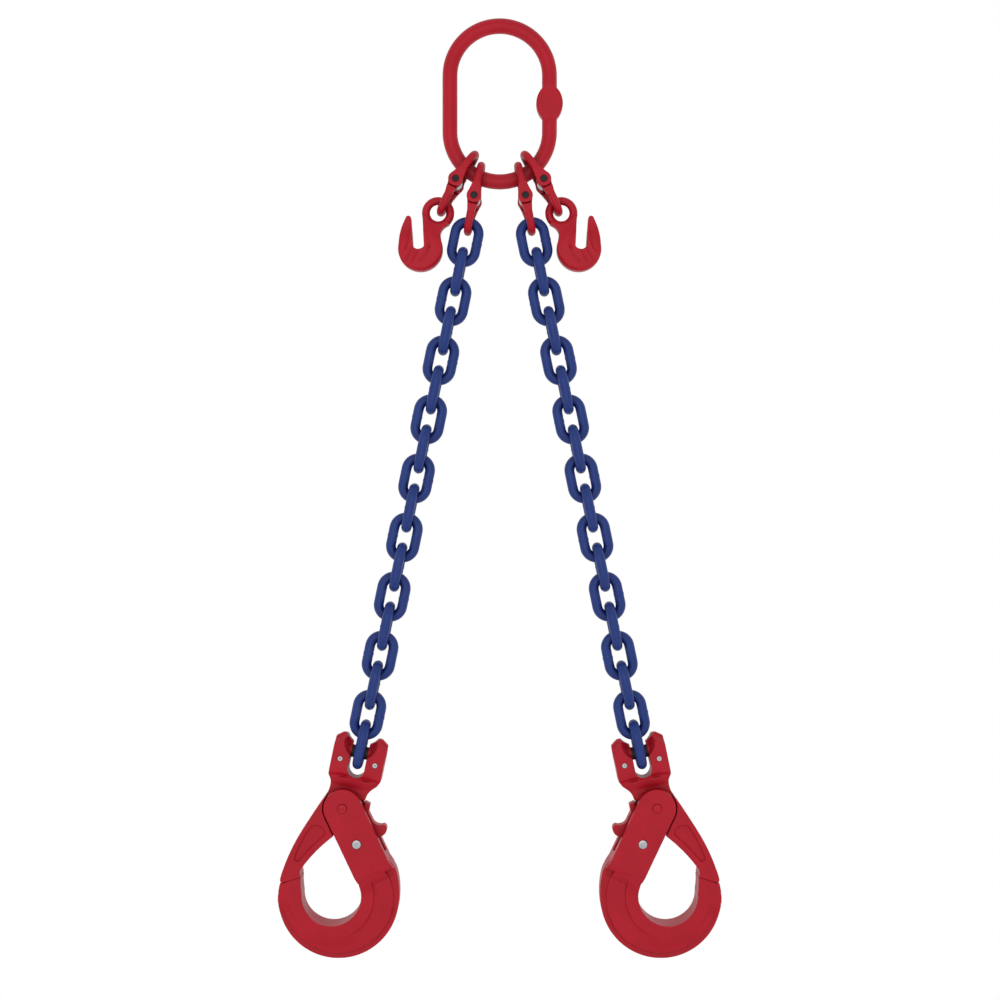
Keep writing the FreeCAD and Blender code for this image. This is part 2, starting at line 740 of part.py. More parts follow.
def leg(name, side):
    """Everything that hangs on one side of the master link."""
    centre_z = size("0.5 * ring_bar - 2 * ring_straight - ring_radius")
    ring = size("ring_radius")

    def on_ring(angle):
        """Centre of the bar at an angle from the bottom of the master link."""
        turn = math.radians(angle)
        return V(side * ring * math.sin(turn), 0, centre_z - ring * math.cos(turn))

    def along(angle, distance):
        """Step down a direction that leans outwards by the angle."""
        turn = math.radians(angle)
        return V(side * distance * math.sin(turn), 0, -distance * math.cos(turn))

    # coupling link of the chain, its crown resting on the master link
    reach = size("coupling_length - crown_depth - 0.5 * ring_bar - seat_gap")
    pin_at = on_ring(size("chain_ring_angle")) + along(size("chain_upper_tilt"), reach)
    upper = -side * size("chain_upper_tilt")
    lower = -side * size("chain_lower_tilt")
    coupling_half(name + "_chain_connector_upper", "crown_depth", pin_at, upper, True)
    coupling_half(name + "_chain_connector_lower", "chain_crown_depth", pin_at, lower, False)
    coupling_pin(name + "_chain_connector_pin", pin_at, upper)

    # coupling link of the grab hook
    pin_at = V(side * size("short_pin_x"), 0, size("short_pin_z"))
    upper = -side * size("short_upper_tilt")
    lower = -side * size("short_lower_tilt")
    coupling_half(name + "_grab_connector_upper", "crown_depth", pin_at, upper, True)
    coupling_half(name + "_grab_connector_lower", "crown_depth", pin_at, lower, False)
    coupling_pin(name + "_grab_connector_pin", pin_at, upper)
    grab_hook(name + "_grab_hook", side, V(side * size("grab_eye_x"), 0, size("grab_eye_z")))

    # chain: every second link turned a quarter turn about the leg
    lean = size("leg_tilt")
    first = V(side * size("first_link_x"), 0, size("first_link_z"))
    for number in range(int(size("links_per_leg"))):
        link = new_body("%s_link_%02d" % (name, number + 1))
        round_bar_link(link, "link_straight", "link_radius", "0.5 * wire")
        quarter = FreeCAD.Rotation(Z_AXIS, 90 * (number % 2))
        where = first + along(lean, number * size("pitch"))
        link.Placement = FreeCAD.Placement(where, tilt(-side * lean).multiply(quarter))
        parts.append(link)

    # self-locking hook on the last link
    hook_at = V(side * size("load_pin_x"), 0, size("load_pin_z"))
    placement = FreeCAD.Placement(hook_at, tilt(-side * lean))
    hook_clevis(name + "_hook_clevis", side, placement)
    hook_pins(name + "_hook_pins", side, placement)
    hook_body(name + "_hook_body", side, placement)
    hook_trigger(name + "_hook_trigger", side, placement)


master_link()
for side_name, side_sign in SIDES.items():
    leg(side_name, side_sign)
doc.recompute()

broken = [item.Name for item in doc.Objects if "Invalid" in item.State or "Error" in item.State]
if broken:
    raise RuntimeError("did not build: " + ", ".join(broken))
os.makedirs("parts", exist_ok=True)
for item in parts:
    if item.Shape.isNull() or not item.Shape.isValid():
        raise RuntimeError("%s has no valid shape" % item.Label)
    item.Shape.exportStep("parts/%s.step" % item.Label)
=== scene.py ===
"""Looks of a two-leg chain sling: red forgings, blue chain, steel pins and a plain pale studio."""
import json
import math

import bmesh
import bpy
import numpy as np
from mathutils import Matrix, Vector


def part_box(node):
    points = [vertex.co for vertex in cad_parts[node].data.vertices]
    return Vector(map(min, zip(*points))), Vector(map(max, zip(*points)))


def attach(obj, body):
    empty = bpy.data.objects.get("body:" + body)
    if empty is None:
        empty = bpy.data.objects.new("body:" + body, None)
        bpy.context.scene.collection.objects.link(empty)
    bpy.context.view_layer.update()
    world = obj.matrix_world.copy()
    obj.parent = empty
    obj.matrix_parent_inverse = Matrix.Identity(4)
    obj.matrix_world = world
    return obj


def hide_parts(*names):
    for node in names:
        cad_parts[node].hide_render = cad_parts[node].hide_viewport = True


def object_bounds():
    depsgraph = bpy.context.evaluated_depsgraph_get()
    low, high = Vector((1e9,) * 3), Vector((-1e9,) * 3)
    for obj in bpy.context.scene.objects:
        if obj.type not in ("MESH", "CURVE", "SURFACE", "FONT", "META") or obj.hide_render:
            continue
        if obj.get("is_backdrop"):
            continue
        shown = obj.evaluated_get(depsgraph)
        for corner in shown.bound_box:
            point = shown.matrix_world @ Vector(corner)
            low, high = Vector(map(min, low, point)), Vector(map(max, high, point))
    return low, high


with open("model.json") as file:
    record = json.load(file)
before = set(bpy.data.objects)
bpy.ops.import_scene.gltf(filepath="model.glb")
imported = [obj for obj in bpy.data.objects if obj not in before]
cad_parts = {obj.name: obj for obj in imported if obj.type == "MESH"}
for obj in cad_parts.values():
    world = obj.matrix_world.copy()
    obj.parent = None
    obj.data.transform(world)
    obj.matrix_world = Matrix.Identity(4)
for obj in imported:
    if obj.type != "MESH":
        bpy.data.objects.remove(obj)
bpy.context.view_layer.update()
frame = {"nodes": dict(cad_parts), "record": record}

MM = 0.001
SIDES = ("left", "right")
COUPLINGS = ("chain", "grab")
LINKS = 18
nodes = frame["nodes"]


# ---------------------------------------------------------------- materials
class Nodes:
    """A material's node tree, with short calls to add nodes and join them."""

    def __init__(self, name):
        self.material = bpy.data.materials.new(name)
        self.material.use_nodes = True
        self.tree = self.material.node_tree
        self.tree.nodes.clear()
        self.output = self.add("ShaderNodeOutputMaterial")
        self.shader = self.add("ShaderNodeBsdfPrincipled")
        self.join(self.shader, "BSDF", self.output, "Surface")

    def add(self, kind, **values):
        node = self.tree.nodes.new(kind)
        for key, value in values.items():
            setattr(node, key, value)
        return node

    def join(self, source, out, target, entry):
        self.tree.links.new(source.outputs[out], target.inputs[entry])

    def place(self):
        """The object's own coordinates, in metres."""
        return self.add("ShaderNodeTexCoord")

    def noise(self, scale, detail=3.0, rough=0.5):
        node = self.add("ShaderNodeTexNoise")
        node.inputs["Scale"].default_value = scale
        node.inputs["Detail"].default_value = detail
        node.inputs["Roughness"].default_value = rough
        self.join(self.place(), "Object", node, "Vector")
        return node

    def ramp(self, source, out, stops):
        """Maps a value through (position, value) stops."""
        node = self.add("ShaderNodeValToRGB")
        ends = node.color_ramp.elements
        while len(ends) < len(stops):
            ends.new(0.5)
        for end, (position, value) in zip(ends, stops):
            end.position = position
            end.color = (value, value, value, 1.0)
        self.join(source, out, node, "Fac")
        return node

    def mix(self, amount, first, second, blend="MIX"):
        """Mixes two colours; each is a node with a Color output or a colour."""
        node = self.add("ShaderNodeMix", data_type="RGBA", blend_type=blend)
        if isinstance(amount, (int, float)):
            node.inputs[0].default_value = amount
        else:
            self.tree.links.new(amount, node.inputs[0])
        for slot, value in ((6, first), (7, second)):
            if isinstance(value, tuple):
                node.inputs[slot].default_value = value + (1.0,)
            else:
                self.tree.links.new(value, node.inputs[slot])
        return node.outputs[2]

    def sum(self, *terms):
        """Adds scaled values: terms are (output, factor)."""
        total = None
        for output, factor in terms:
            scaled = self.add("ShaderNodeMath", operation="MULTIPLY")
            self.tree.links.new(output, scaled.inputs[0])
            scaled.inputs[1].default_value = factor
            if total is None:
                total = scaled.outputs[0]
                continue
            added = self.add("ShaderNodeMath", operation="ADD")
            self.tree.links.new(total, added.inputs[0])
            self.tree.links.new(scaled.outputs[0], added.inputs[1])
            total = added.outputs[0]
        return total

    def painted_hollow_shade(self, colour, deep_tone_and_shade, reach, stops, share):
        """Painted shade: mixes a colour towards a deeper one in hollows narrower than reach."""
        hollow = self.add("ShaderNodeAmbientOcclusion", samples=8)
        hollow.inputs["Distance"].default_value = reach
        shade = self.ramp(hollow, "AO", stops)
        return self.mix(self.sum((shade.outputs["Color"], share)), colour, deep_tone_and_shade)

    def roughness(self, change, level):
        """The shader's roughness: a level plus a value that changes over the surface."""
        total = self.add("ShaderNodeMath", operation="ADD")
        self.tree.links.new(change, total.inputs[0])
        total.inputs[1].default_value = level
        self.join(total, 0, self.shader, "Roughness")

    def bump(self, height, distance):
        node = self.add("ShaderNodeBump")
        node.inputs["Distance"].default_value = distance
        self.tree.links.new(height, node.inputs["Height"])
        self.join(node, "Normal", self.shader, "Normal")


def paint(name, face, deep_tone_and_shade, thin, roughness, peel, graze_shade):
    """Powder coat over a forging, in three colours.

    face is the colour of open faces. The deeper colour is a tone that faces wander towards at random,
    and also the painted shade in hollows and at grazing angles.
    thin is the lighter colour on corners: partly coat pulled thin and partly a painted highlight. peel
    is the depth of the coat's orange peel, and the last argument sets how strongly the painted shade at
    grazing angles goes to the deeper colour.
    """
    n = Nodes(name)
    blotch = n.ramp(n.noise(45.0, 3.0), "Fac", ((0.3, 0.0), (0.7, 1.0)))
    colour = n.mix(n.sum((blotch.outputs["Color"], 0.22)), face, deep_tone_and_shade)
    # painted shade: the colour goes deeper in hollows narrower than 12 mm
    colour = n.painted_hollow_shade(colour, deep_tone_and_shade, 12 * MM, ((0.30, 1.0), (0.88, 0.0)), 0.85)
    # painted shade: the colour goes deeper where the surface is seen at a flat angle
    facing = n.add("ShaderNodeLayerWeight")
    facing.inputs["Blend"].default_value = 0.35
    graze = n.ramp(facing, "Facing", ((0.50, 0.0), (0.97, 1.0)))
    colour = n.mix(n.sum((graze.outputs["Color"], graze_shade)), colour, deep_tone_and_shade)
    # corners turn lighter, in patches: partly coat pulled thin and partly a painted highlight
    edge = n.add("ShaderNodeNewGeometry")
    corner = n.ramp(edge, "Pointiness", ((0.53, 0.0), (0.62, 1.0)))
    broken = n.ramp(n.noise(420.0, 4.0, 0.6), "Fac", ((0.45, 0.0), (0.62, 1.0)))
    both = n.add("ShaderNodeMath", operation="MULTIPLY")
    n.join(corner, "Color", both, 0)
    n.join(broken, "Color", both, 1)
    colour = n.mix(n.sum((both.outputs[0], 0.35)), colour, thin)
    n.tree.links.new(colour, n.shader.inputs["Base Color"])
    fine = n.noise(900.0, 2.0)
    coarse = n.noise(160.0, 3.0)
    n.bump(n.sum((fine.outputs["Fac"], 0.35), (coarse.outputs["Fac"], 1.0)), peel)
    cloudy = n.noise(70.0, 4.0)
    # the two noises add 0.11 on average
    n.roughness(n.sum((cloudy.outputs["Fac"], 0.16), (fine.outputs["Fac"], 0.06)), roughness - 0.11)
    n.shader.inputs["Specular IOR Level"].default_value = 0.2
    return n.material


def metal(name, light, dark_tone_and_shade, roughness, metallic, grain):
    """Turned or drawn steel: cloudy plating with fine grain, and painted shade that darkens the
    hollows.
    """
    n = Nodes(name)
    cloud = n.ramp(n.noise(220.0, 4.0), "Fac", ((0.3, 0.0), (0.7, 1.0)))
    lines = n.noise(1800.0, 2.0, 0.7)
    colour = n.mix(n.sum((cloud.outputs["Color"], 0.45), (lines.outputs["Fac"], 0.2)), light, dark_tone_and_shade)
    # painted shade: darker in hollows narrower than 4 mm
    colour = n.painted_hollow_shade(colour, dark_tone_and_shade, 4 * MM, ((0.2, 1.0), (0.9, 0.0)), 0.6)
    n.tree.links.new(colour, n.shader.inputs["Base Color"])
    n.shader.inputs["Metallic"].default_value = metallic
    n.shader.inputs["Specular IOR Level"].default_value = 0.25
    # grain and cloud add 0.14 on average
    n.roughness(n.sum((lines.outputs["Fac"], 0.2), (cloud.outputs["Color"], 0.08)), roughness - 0.14)
    n.bump(n.sum((lines.outputs["Fac"], 1.0), (cloud.outputs["Color"], 0.5)), grain)
    return n.material


RED = paint("red_powder_coat", face=(0.440, 0.0055, 0.019), deep_tone_and_shade=(0.185, 0.0006, 0.0035),
            thin=(0.50, 0.03, 0.045), roughness=0.40, peel=0.05 * MM, graze_shade=0.30)
BLUE = paint("blue_chain_coat", face=(0.017, 0.042, 0.200), deep_tone_and_shade=(0.003, 0.007, 0.095),
             thin=(0.05, 0.09, 0.25), roughness=0.36, peel=0.05 * MM, graze_shade=0.75)
ZINC = metal("zinc_plated_steel", light=(0.46, 0.47, 0.475), dark_tone_and_shade=(0.28, 0.29, 0.30),
             roughness=0.34, metallic=1.0, grain=0.02 * MM)
BLACK = metal("blackened_steel", light=(0.010, 0.009, 0.009), dark_tone_and_shade=(0.003, 0.003, 0.003),
              roughness=0.5, metallic=0.0, grain=0.02 * MM)
SPRING = metal("spring_wire", light=(0.30, 0.30, 0.31), dark_tone_and_shade=(0.10, 0.10, 0.11),
               roughness=0.30, metallic=1.0, grain=0.01 * MM)


# ---------------------------------------------------------------- helpers
def new_object(name, mesh, material):
    obj = bpy.data.objects.new(name, mesh)
    bpy.context.scene.collection.objects.link(obj)
    mesh.materials.clear()
    mesh.materials.append(material)
    return obj


def body_name(node):
    """The CAD body that carries a node."""
    for name, members in frame["record"]["behaviour"]["bodies"].items():
        if node in members:
            return name
    raise KeyError(node)


def finish_piece(obj, node):
    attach(obj, body_name(node))
    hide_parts(node)


def smooth_shading(mesh, angle=None):
    for polygon in mesh.polygons:
        polygon.use_smooth = True
    if angle is not None:
        mesh.set_sharp_from_angle(angle=math.radians(angle))


def baked(obj):
    """The object's mesh with its modifiers applied."""
    graph = bpy.context.evaluated_depsgraph_get()
    graph.update()
    mesh = bpy.data.meshes.new_from_object(obj.evaluated_get(graph))
    obj.modifiers.clear()
    obj.data = mesh
    return mesh


def islands(mesh):
    """Splits a mesh into one new mesh for each loose solid."""
    whole = bmesh.new()
    whole.from_mesh(mesh)
    bmesh.ops.remove_doubles(whole, verts=whole.verts, dist=1e-6)
    whole.verts.ensure_lookup_table()
    left = set(whole.verts)
    groups = []
    while left:
        queue = [left.pop()]
        group = set(queue)
        while queue:
            for edge in queue.pop().link_edges:
                for vertex in edge.verts:
                    if vertex in left:
                        left.discard(vertex)
                        group.add(vertex)
                        queue.append(vertex)
        groups.append(group)
    groups.sort(key=lambda group: (-len(group), min(v.index for v in group)))
    result = []
    for group in groups:
        part = bmesh.new()
        copies = {vertex: part.verts.new(vertex.co) for vertex in sorted(group, key=lambda v: v.index)}
        for face in whole.faces:
            if face.verts[0] in group:
                part.faces.new([copies[vertex] for vertex in face.verts])
        piece = bpy.data.meshes.new("solid")
        part.to_mesh(piece)
        part.free()
        result.append(piece)
    whole.free()
    return result


def smooth_step(low, high, value):
    """0 below low, 1 above high, an easy curve between."""
    t = np.clip((value - low) / (high - low), 0.0, 1.0)
    return t * t * (3 - 2 * t)


def points_of(mesh):
    flat = np.empty(len(mesh.vertices) * 3, dtype=np.float32)
    mesh.vertices.foreach_get("co", flat)
    return flat.reshape(-1, 3).astype(np.float64)


def put_points(mesh, points):
    mesh.vertices.foreach_set("co", points.astype(np.float32).ravel())
    mesh.update()


def relaxed(mesh, points, passes, weight=1.0):
    """Moves every point part of the way to the middle of its neighbours, passes times."""
    pairs = np.empty(len(mesh.edges) * 2, dtype=np.int32)
    mesh.edges.foreach_get("vertices", pairs)
    pairs = pairs.reshape(-1, 2)
    count = np.bincount(pairs.ravel(), minlength=len(points)).astype(float)[:, None]
    share = 0.5 * (weight[:, None] if isinstance(weight, np.ndarray) else weight)
    for _ in range(passes):
        total = np.zeros_like(points)
        for axis in range(3):
            total[:, axis] = (np.bincount(pairs[:, 0], points[pairs[:, 1], axis], len(points))
                              + np.bincount(pairs[:, 1], points[pairs[:, 0], axis], len(points)))
        points = points + share * (total / count - points)
    return points


def forged(name, mesh, material, voxel, passes, sculpt=None):
    """A forging from its CAD solid: rebuilt in small even quads, shaped, then relaxed so that its
    edges turn round. sculpt returns the moved points and how much each may be relaxed.
    """
    obj = new_object(name, mesh, material)
    remesh = obj.modifiers.new("remesh", "REMESH")
    remesh.mode = "VOXEL"
    remesh.voxel_size = voxel
    mesh = baked(obj)
    points = points_of(mesh)
    weight = 1.0
    if sculpt:
        points, weight = sculpt(mesh, points)
    put_points(mesh, relaxed(mesh, points, passes, weight))
    mesh.materials.clear()
    mesh.materials.append(material)
    smooth_shading(mesh)
    return obj


def joint(name):
    return next(item for item in frame["record"]["behaviour"]["joints"] if item["name"] == name)


class Local:
    """Millimetre coordinates in the plane of a fitting, drawn as it sits on the left leg."""

    def __init__(self, side, origin, lean):
        self.flip = 1.0 if side == "left" else -1.0
        self.origin = np.array(origin, dtype=float)
        self.turn = (math.cos(lean), math.sin(lean))

    def from_world(self, points):
        offset = (points - self.origin) / MM
        x = offset[:, 0] * self.flip
        c, s = self.turn
        return x * c - offset[:, 2] * s, offset[:, 1].copy(), x * s + offset[:, 2] * c

    def to_world(self, x, y, z):
        c, s = self.turn
        flat = (x * c + z * s) * self.flip
        return np.stack((flat, y, -x * s + z * c), axis=1) * MM + self.origin


def beside(x, z, start, end):
    """Positive for points on the right of the line from start to end, negative on its left."""
    (ax, az), (bx, bz) = start, end
    return (bz - az) * (x - ax) - (bx - ax) * (z - az)


def to_segment(x, z, start, end):
    """Distance of each point from the line between two points."""
    (ax, az), (bx, bz) = start, end
    length = (bx - ax) ** 2 + (bz - az) ** 2
    along = np.clip(((x - ax) * (bx - ax) + (z - az) * (bz - az)) / length, 0, 1)
    return np.hypot(x - ax - along * (bx - ax), z - az - along * (bz - az))


def carve(x, y, z, path, steep, easy, depth):
    """A groove along a path on both flat faces, steep on the right of the path and easy on its left."""
    near = np.full(len(x), 1e9)
    left = np.zeros(len(x), dtype=bool)
    for start, end in zip(path, path[1:]):
        away = to_segment(x, z, start, end)
        left = np.where(away < near, beside(x, z, start, end) < 0, left)
        near = np.minimum(near, away)
    width = np.where(left, easy, steep)
    return y - np.sign(y) * depth * np.exp(-((near / width) ** 2)) * (np.abs(y) > 2.0)


def face_weight(mesh):
    """1 on faces that look to the front or back, 0 on the side walls."""
    flat = np.empty(len(mesh.vertices) * 3, dtype=np.float32)
    mesh.vertices.foreach_get("normal", flat)
    return smooth_step(0.45, 0.8, np.abs(flat.reshape(-1, 3)[:, 1]))


def averaged_height(x, y, z, weight, cell, spread):
    """Height of the front and back faces above the middle plane, averaged over a small round patch."""
    reach = int(3 * spread / cell)
    i = np.round((x - x.min()) / cell).astype(int) + reach
    k = np.round((z - z.min()) / cell).astype(int) + reach
    shape = (i.max() + reach + 1, k.max() + reach + 1)
    kernel = np.exp(-0.5 * (np.arange(-reach, reach + 1) * cell / spread) ** 2)
    grids = []
    for value in (np.abs(y) * weight, weight):
        grid = np.zeros(shape)
        np.add.at(grid, (i, k), value)
        for axis in (0, 1):
            grid = np.apply_along_axis(lambda row: np.convolve(row, kernel, "same"), axis, grid)
        grids.append(grid[i, k])
    return grids[0] / np.maximum(grids[1], 1e-9)


# ---------------------------------------------------------------- forgings
# the legs' lean from upright
leg_run = np.array(joint("left_link_17_bend")["pos_m"]) - np.array(joint("left_link_03_bend")["pos_m"])
LEAN = math.atan2(-leg_run[0], -leg_run[2])

# Hook coordinates: millimetres from the load pin, Z up the leg and X across it. A level is a
# height above the middle plane, the same on the front and the back face.
BOWL = (1.5, -143.0)             # centre of the bowl
BAND_RADII = (29.0, 42.3)        # of the thick band round the bowl, about BOWL
BAND_LEVEL = 12.5
RIM = (8.6, -144.0)              # centre of the fine line between the web and the thin rim
RIM_RADIUS = 54.9
WEB_INNER = 41.5                 # about BOWL
WEB_OUTER = 54.2                 # about RIM
CHEEK_LEVEL = 15.0
CHEEK_CORNER = (35.1, -115.3)    # where the cheek meets both the web and the band
CHEEK_TO_WEB = (CHEEK_CORNER, (58.0, -102.7))
CHEEK_TO_WEB_RISE = 0.551        # of that line, in Z for each millimetre of X
CHEEK_TO_BAND = ((26.5, -126.2), CHEEK_CORNER)
# the cheek's slope ends on the web along this line, which has a crease in its middle
WEB_TOP = ((38.0, -126.4), (58.0, -109.6))
WEB_TOP_POINT = (43.0, -122.2)
WEB_TOP_RISE = 0.841
WEB_CREASE = ((43.2, -122.0), (56.0, -111.3))
# where the arm's end meets the hook's tip, and how far each of the two faces comes closer
PARTING = ((-50.5, -138.5), (-32.5, -130.5))
PARTING_MOVE = 0.35


def closed_up(x, z, reach):
    """Brings the faces at the parting closer together; reach is positive towards the hook's tip."""
    weight = 1 - smooth_step(1.0, 2.4, to_segment(x, z, *PARTING))
    return x + 0.42 * reach * weight, z - 0.91 * reach * weight


def parting_weight(x, z):
    """0 at the parting, whose faces stay crisp, and 1 away from it."""
    return 1 - np.exp(-((to_segment(x, z, *PARTING) / 2.5) ** 4))


def hook_space(side):
    return Local(side, joint(side + "_hook_swing")["pos_m"], LEAN)


def raised(y, where, level):
    """Lifts the faces to a level where they lie lower."""
    return np.where(where & (np.abs(y) < level), np.sign(y) * level, y)


def under_line(x, z, point, rise):
    """True below the line that runs through a point with the given rise."""
    return z - point[1] < rise * (x - point[0])


def sector(turn, start, full, fading, end):
    """1 from the angle full to fading, and 0 before start and after end."""
    return smooth_step(start, full, turn) * (1 - smooth_step(fading, end, turn))


def even_bowl(x, y, z, turn, from_bowl):
    """The step inside the rim fades out towards the tip, and the band's step under the bowl."""
    on_face = smooth_step(7.8, 8.3, np.abs(y)) * (z < -118.0)
    tip = sector(turn, 150, 165, 196, 214) * (x < 0) * (from_bowl > 36.0)
    y = y + on_face * tip * (np.sign(y) * BAND_LEVEL - y)
    web_low, web_high, filled = 9.3, 12.2, 12.3
    on_web = (np.abs(y) > web_low) & (np.abs(y) < web_high)
    under = sector(turn, 222, 246, 296, 322)
    slope = 1 - smooth_step(42.0, 53.0, from_bowl)
    return y + on_face * on_web * under * slope * (np.sign(y) * filled - y)


def slope_cheeks(x, y, z, from_bowl):
    """Below each cheek a slope runs down to the web, and beside it one to the band.

    Returns the new heights and how much each point of the cheek's edge may be relaxed.
    """
    top = to_segment(x, z, *CHEEK_TO_WEB)
    foot = to_segment(x, z, *WEB_TOP)
    under_cheek = under_line(x, z, CHEEK_CORNER, CHEEK_TO_WEB_RISE)
    on_slope = under_cheek & ~under_line(x, z, WEB_TOP_POINT, WEB_TOP_RISE)
    within = (from_bowl > WEB_INNER) & (np.hypot(x - RIM[0], z - RIM[1]) < WEB_OUTER)
    on_web = on_slope & within & (np.abs(y) > 9.0) & (x > 34.0)
    web_drop = 4.6
    y = raised(y, on_web, CHEEK_LEVEL - web_drop * top / np.maximum(top + foot, 1e-9))
    end = to_segment(x, z, *CHEEK_TO_BAND)
    ahead = beside(x, z, *CHEEK_TO_BAND) > 0
    within = (from_bowl > BAND_RADII[0]) & (from_bowl < BAND_RADII[1])
    on_band = ahead & within & (np.abs(y) > 11.5) & (x > 20.0)
    y = raised(y, on_band, CHEEK_LEVEL - (CHEEK_LEVEL - BAND_LEVEL) * smooth_step(0.0, 13.0, end))
    edge = np.exp(-((np.minimum(top, end) / 3.5) ** 2))
    return y, edge * (np.abs(y) > 9.5) * (from_bowl > 30.5)


def shape_hook_body(side):
    space = hook_space(side)

    def sculpt(mesh, points):
        x, y, z = space.from_world(points)
        turn = np.degrees(np.arctan2(z - BOWL[1], x - BOWL[0])) % 360
        from_bowl = np.hypot(x - BOWL[0], z - BOWL[1])
        y = even_bowl(x, y, z, turn, from_bowl)
        y, soft = slope_cheeks(x, y, z, from_bowl)
        x, y, z = space.from_world(relaxed(mesh, space.to_world(x, y, z), 60, soft))
        y = carve(x, y, z, WEB_CREASE, 0.6, 1.4, 0.9)
        # a fine line where the thin rim meets the thicker web, on the lower side of the bowl
        line_depth, line_width = 0.9, 0.6
        rim = np.hypot(x - RIM[0], z - RIM[1]) - RIM_RADIUS
        low_side = (1 - smooth_step(-125.0, -112.0, z)) * smooth_step(200, 224, turn)
        line = np.exp(-((rim / line_width) ** 2)) * low_side
        y = y - np.sign(y) * line_depth * line * (np.abs(y) > 7.5)
        x, z = closed_up(x, z, -PARTING_MOVE)
        return space.to_world(x, y, z), parting_weight(x, z)

    return sculpt


def shape_clevis(side):
    space = hook_space(side)
    fork_level = 11.0
    crease_at, crease_depth = -25.2, 2.6
    slot_half = 5.0
    cover_radius, cover_least = 7.2, 2.5

    def sculpt(mesh, points):
        x, y, z = space.from_world(points)
        # scoops beside the mouth of the slot, so that the chain can lean forwards and back
        ring = np.hypot(x / 17.0, (z - 14.0) / 19.8)
        scoop = fork_level - 8.0 + 8.0 * np.clip((ring - 0.5) / 0.5, 0, 1) ** 2.5
        # the teeth get thinner towards their tops, more so at the outer corner
        thin = fork_level - 3.0 * smooth_step(8.0, 17.0, z)
        corner = fork_level - 1.4 * np.clip(z - 9.0 + 0.75 * (np.abs(x) - 19.0), 0, None)
        # never so deep that the load pin shows through
        cover = np.sqrt(np.maximum(cover_radius ** 2 - np.maximum(z, 0.0) ** 2, cover_least ** 2))
        cap = np.maximum(np.minimum(np.minimum(scoop, thin), corner), cover)
        top = (z > -8.0) & (np.abs(x) < 28)
        y = np.where(top & (np.abs(y) > cap), np.sign(y) * cap, y)
        # crease beside the slot where the fork runs into the neck, steeper on its lower side
        over = z - crease_at
        crease = np.exp(-((over / np.where(over > 0, 4.5, 1.1)) ** 2))
        reach = np.abs(x)
        crease = crease * ((1 - smooth_step(12.0, 24.0, reach)) * smooth_step(slot_half, 9.0, reach))
        y = y - np.sign(y) * crease_depth * crease * (np.abs(y) > 6.0)
        # the hollow in the arm's faces is a little deeper than the solid's
        in_arm = (z < -76) & (np.abs(y) > 11.0) & (np.abs(y) < 12.3)
        y = np.where(in_arm, y - np.sign(y) * 0.6, y)
        x, z = closed_up(x, z, PARTING_MOVE)
        return space.to_world(x, y, z), parting_weight(x, z)

    return sculpt


EYE_RADIUS = 16.15 * MM
# Die lines on the grab hook, from the eye's centre: path, steep and easy width, depth.
GRAB_HOOK_LINES = (
    (((-31.4, -47.6), (-25.0, -36.2)), 0.5, 2.4, 1.1),
    (((-24.2, -47.6), (-19.6, -36.8)), 0.5, 2.4, 1.1),
    (((-16.4, -47.6), (-10.6, -41.0), (-8.4, -34.5)), 0.6, 2.0, 0.9),
    (((-8.4, -34.5), (-7.8, -30.0), (-9.4, -24.0), (-11.2, -16.5)), 0.8, 2.0, 0.9),
    (((-31.8, -36.0), (-29.6, -28.5), (-28.6, -18.5)), 0.7, 2.2, 1.4))


def shape_grab_hook(side):
    # the eye fills the top outer corner of the hook's box
    low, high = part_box(side + "_grab_hook")
    eye_x = high[0] - EYE_RADIUS if side == "left" else low[0] + EYE_RADIUS
    space = Local(side, (eye_x, 0.0, high[2] - EYE_RADIUS), 0.0)

    def sculpt(mesh, points):
        x, y, z = space.from_world(points)
        # the steps between eye, shank and cradle melt away
        weight = face_weight(mesh)
        height = averaged_height(x, y, z, weight, 0.6, 2.6)
        shank = to_segment(x, z, (-1.0, -15.0), (-4.0, -33.0))
        cradle = to_segment(x, z, (-13.0, -4.0), (-13.0, -33.0))
        horn = to_segment(x, z, (-29.0, -12.0), (-32.0, -33.0))
        region = np.maximum(1 - smooth_step(9.0, 15.0, shank), 1 - smooth_step(4.0, 9.0, cradle))
        region = np.maximum(region, 1 - smooth_step(5.0, 10.0, horn))
        region = region * smooth_step(9.5, 13.5, np.hypot(x, z))
        y = y + region * weight * (np.sign(y) * height - y)
        crisp = np.zeros(len(x))
        for path, steep, easy, depth in GRAB_HOOK_LINES:
            y = carve(x, y, z, path, steep, easy, depth)
            for start, end in zip(path, path[1:]):
                crisp = np.maximum(crisp, np.exp(-((to_segment(x, z, start, end) / 1.6) ** 4)))
        return space.to_world(x, y, z), 1 - 0.85 * crisp

    return sculpt


